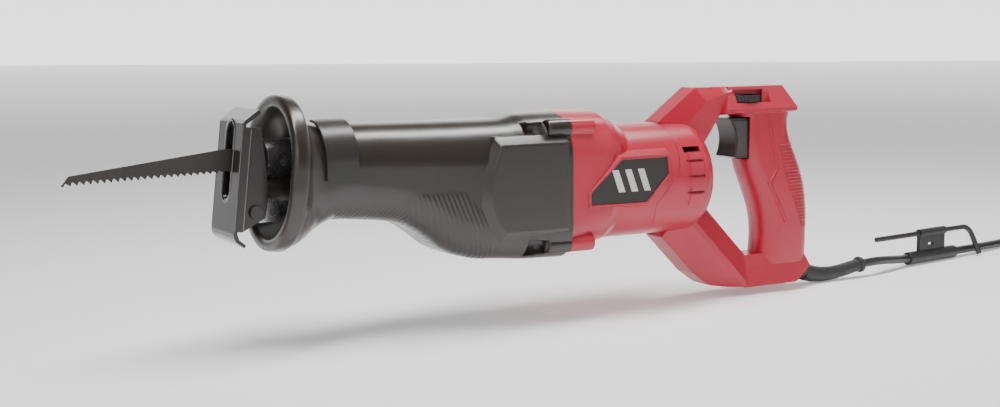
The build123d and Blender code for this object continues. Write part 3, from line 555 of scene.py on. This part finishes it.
def slot_ring(r, forward):
    """Points round the shoe's slot, r from its centre line."""
    ring = [shoe_point(forward, r * math.cos(math.radians(a)), 29.0 + r * math.sin(math.radians(a)))
            for a in range(0, 181, 12)]
    return ring + [shoe_point(forward, r * math.cos(math.radians(a)), -8.5 + r * math.sin(math.radians(a)))
                   for a in range(180, 361, 12)]


# The slot lip and the bend and joggle beads are coloured bright steel as painted highlights on the shoe's
# edges
lip_rings = [slot_ring(6.02, -0.9), slot_ring(6.6, 0.25), slot_ring(8.2, 0.35), slot_ring(8.5, -0.1)]
lip = mesh_piece("slot_lip", [v for ring in lip_rings for v in ring],
                 ring_faces(len(lip_rings), len(lip_rings[0])), SHOE_HIGHLIGHT, body="shoe_plate")
fix_normals(lip)
for side, word in ((1, "left"), (-1, "right")):
    bend = [shoe_point(-0.35, side * 20.25, up) for up in np.linspace(-33.5, 34.0, 20)]
    tube("shoe_bend_" + word, bend, 0.55, SHOE_HIGHLIGHT, body="shoe_plate")
    joggle = [shoe_point(-6.2, side * 20.2, up) for up in np.linspace(-33.0, 32.0, 20)]
    tube("shoe_joggle_" + word, joggle, 0.6, SHOE_HIGHLIGHT, body="shoe_plate")


# ---------------------------------------------------------------- cord

CORD_ROUTE = [(-325.0, -0.2, 10.6), (-338.0, -1.0, 11.2), (-354.0, -4.8, 10.5), (-373.0, -11.0, 8.4),
              (-395.0, -19.5, 6.0), (-432.5, -27.0, 5.5), (-470.5, -33.6, 5.4), (-512.0, -43.0, 4.6),
              (-551.0, -54.0, 3.7), (-582.0, -60.5, 3.6)]
CORD_TAIL = [(-658.0, -6.0, 8.4), (-664.0, 10.0, 7.0), (-666.0, 24.0, 6.8), (-666.0, 40.0, 6.6)]
COIL_X, COIL_Y = -608.0, -20.0
TURN_POINTS = 24
TURNS = [0, 0.75, 1.0, 1.75, 2.0, 3.4, 3.65, 4.4, 4.65, 5.25]
TURN_RADII = [48.6, 48.6, 41.0, 41.0, 33.4, 33.4, 41.0, 41.0, 48.6, 48.6]


def coil_points():
    """The turns of the stored coil, in two layers."""
    points = []
    for i in range(int(5.25 * TURN_POINTS)):
        turn = i / TURN_POINTS
        r = float(np.interp(turn, TURNS, TURN_RADII)) * 1.004
        z = float(np.interp(turn, [2.35, 2.85], [3.6, 10.9]))
        angle = math.radians(-90.0 - 360.0 * turn)
        points.append((COIL_X + r * math.cos(angle), COIL_Y + r * math.sin(angle), z))
    return points


def cord():
    """The whole lead as one smooth curve, from the strain relief to the plug."""
    points = CORD_ROUTE + coil_points() + CORD_TAIL
    data = bpy.data.curves.new("cord", "CURVE")
    data.dimensions = "3D"
    data.resolution_u = 8
    data.bevel_depth = 3.5 * MM
    data.bevel_resolution = 5
    data.use_fill_caps = True
    spline = data.splines.new("NURBS")
    spline.points.add(len(points) - 1)
    for point, (x, y, z) in zip(spline.points, points):
        point.co = (x * MM, y * MM, z * MM, 1.0)
    spline.order_u = 3
    spline.use_endpoint_u = True
    data.materials.append(CORD)
    piece = bpy.data.objects.new("cord", data)
    bpy.context.collection.objects.link(piece)
    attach(piece, "frame")
    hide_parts("power_cord", "cord_coil", "cord_tail")
    return piece, spline.calc_length()


def coil_tie():
    """Strap that holds the coil's turns together."""
    angle = math.radians(35.0)
    ring = rounded_ring(26.4, 0.0, 15.2, 4.0, 4.0)
    verts = []
    for along in (-4.0, 4.0):
        for grow in (0.0, 0.9):
            for u, v in ring:
                r = 41.0 + u * (1 + grow / 13.0)
                z = 7.6 + (v - 7.6) * (1 + grow / 7.6) + 0.55
                x = COIL_X + r * math.cos(angle) - along * math.sin(angle)
                y = COIL_Y + r * math.sin(angle) + along * math.cos(angle)
                verts.append(Vector((x * MM, y * MM, z * MM)))
    around = len(ring)
    order = [0, 1, 3, 2]
    verts = [verts[i * around + k] for i in order for k in range(around)]
    tie = mesh_piece("coil_tie", verts, ring_faces(4, around, closed=True), RUBBER)
    fix_normals(tie)
    return tie


flex, flex_length = cord()
tie = coil_tie()
print("cord length", round(flex_length, 4))


# ---------------------------------------------------------------- camera, light and backdrop

# The camera stands off the left side, near the nose. Its own axes are in the row's frame, in metres.
CAMERA_AT = (0.5575, 0.9273, 0.2150)
camera_data = bpy.data.cameras.new("camera")
camera_data.lens = 55.08
camera_data.sensor_width = 36.0
camera = bpy.data.objects.new("camera", camera_data)
bpy.context.collection.objects.link(camera)
right, up, back = (-0.8642, 0.503, -0.0052), (-0.0652, -0.103, 0.9926), (0.4989, 0.858, 0.1217)
camera_matrix = Matrix((right, up, back)).transposed().to_4x4()
camera_matrix.translation = CAMERA_AT
camera.matrix_world = camera_matrix
bpy.context.scene.camera = camera


def area_light(name, location, target, width, height, power):
    """A rectangular studio lamp turned to a target."""
    data = bpy.data.lights.new(name, "AREA")
    data.shape = "RECTANGLE"
    data.size = width
    data.size_y = height
    data.energy = power
    lamp = bpy.data.objects.new(name, data)
    bpy.context.collection.objects.link(lamp)
    lamp.location = location
    lamp.rotation_euler = (Vector(target) - Vector(location)).to_track_quat("-Z", "Y").to_euler()
    return lamp


MIDDLE = (0.0, 0.0, 0.09)
area_light("key", (-0.05, 0.10, 1.05), MIDDLE, 1.5, 0.22, 21.0)
area_light("front", (0.75, 1.35, 0.75), MIDDLE, 1.2, 0.9, 6.5)
area_light("nose", (1.3, 0.35, 0.35), MIDDLE, 0.5, 0.8, 2.0)
area_light("rear", (-0.9, 0.6, 0.6), MIDDLE, 0.7, 0.9, 2.0)

# Even light from all round, so that no side is black
world = bpy.data.worlds.new("world")
bpy.context.scene.world = world
world.use_nodes = True
world.node_tree.nodes["Background"].inputs["Color"].default_value = (1.0, 1.0, 1.0, 1.0)
world.node_tree.nodes["Background"].inputs["Strength"].default_value = 0.06


FLOOR_HALF = 9.0
ROOM = 8.9


def stage_plane(name, corners, color, glow, far_glow=None, seen_only=False):
    """A pale glowing plane. seen_only planes are in view but light nothing."""
    data = bpy.data.meshes.new(name)
    data.from_pydata(corners, [], [(0, 1, 2, 3)])
    plane = bpy.data.objects.new(name, data)
    bpy.context.collection.objects.link(plane)
    mat = bpy.data.materials.new(name)
    mat.use_nodes = True
    shader = mat.node_tree.nodes["Principled BSDF"]
    shader.inputs["Base Color"].default_value = color
    shader.inputs["Roughness"].default_value = 0.9
    shader.inputs["Specular IOR Level"].default_value = 0.0
    shader.inputs["Emission Color"].default_value = (1.0, 1.0, 1.0, 1.0)
    shader.inputs["Emission Strength"].default_value = glow
    if far_glow is not None:
        place_node = mat.node_tree.nodes.new("ShaderNodeTexCoord")
        away_from_part = mat.node_tree.nodes.new("ShaderNodeVectorMath")
        away_from_part.operation = "LENGTH"
        rise = mat.node_tree.nodes.new("ShaderNodeMapRange")
        rise.interpolation_type = "SMOOTHSTEP"
        rise.inputs["From Min"].default_value = 0.6
        rise.inputs["From Max"].default_value = 4.0
        rise.inputs["To Min"].default_value = glow
        rise.inputs["To Max"].default_value = far_glow
        mat.node_tree.links.new(place_node.outputs["Object"], away_from_part.inputs[0])
        mat.node_tree.links.new(away_from_part.outputs["Value"], rise.inputs["Value"])
        mat.node_tree.links.new(rise.outputs["Result"], shader.inputs["Emission Strength"])
    data.materials.append(mat)
    if seen_only:
        plane.visible_diffuse = False
        plane.visible_glossy = False
        plane.visible_transmission = False
        plane.visible_shadow = False


stage_plane("floor", [(x * FLOOR_HALF, y * FLOOR_HALF, -0.0005)
                      for x, y in ((-1, -1), (1, -1), (1, 1), (-1, 1))],
            (0.88, 0.88, 0.88, 1.0), 0.24, far_glow=0.72)
away = Vector(CAMERA_AT) - Vector(back) * 7.0
stage_plane("backdrop", [away + Vector(right) * u + Vector(up) * v
                         for u, v in ((-7.0, -5.0), (7.0, -5.0), (7.0, 5.0), (-7.0, 5.0))],
            (0.9, 0.9, 0.9, 1.0), 1.6)
room_corners = [(-ROOM, -ROOM), (ROOM, -ROOM), (ROOM, ROOM), (-ROOM, ROOM)]
for i, (ax, ay) in enumerate(room_corners):
    bx, by = room_corners[(i + 1) % len(room_corners)]
    stage_plane("wall_%d" % (i + 1), [(ax, ay, -0.02), (bx, by, -0.02), (bx, by, 9.0), (ax, ay, 9.0)],
                (0.9, 0.9, 0.9, 1.0), 0.75, seen_only=True)
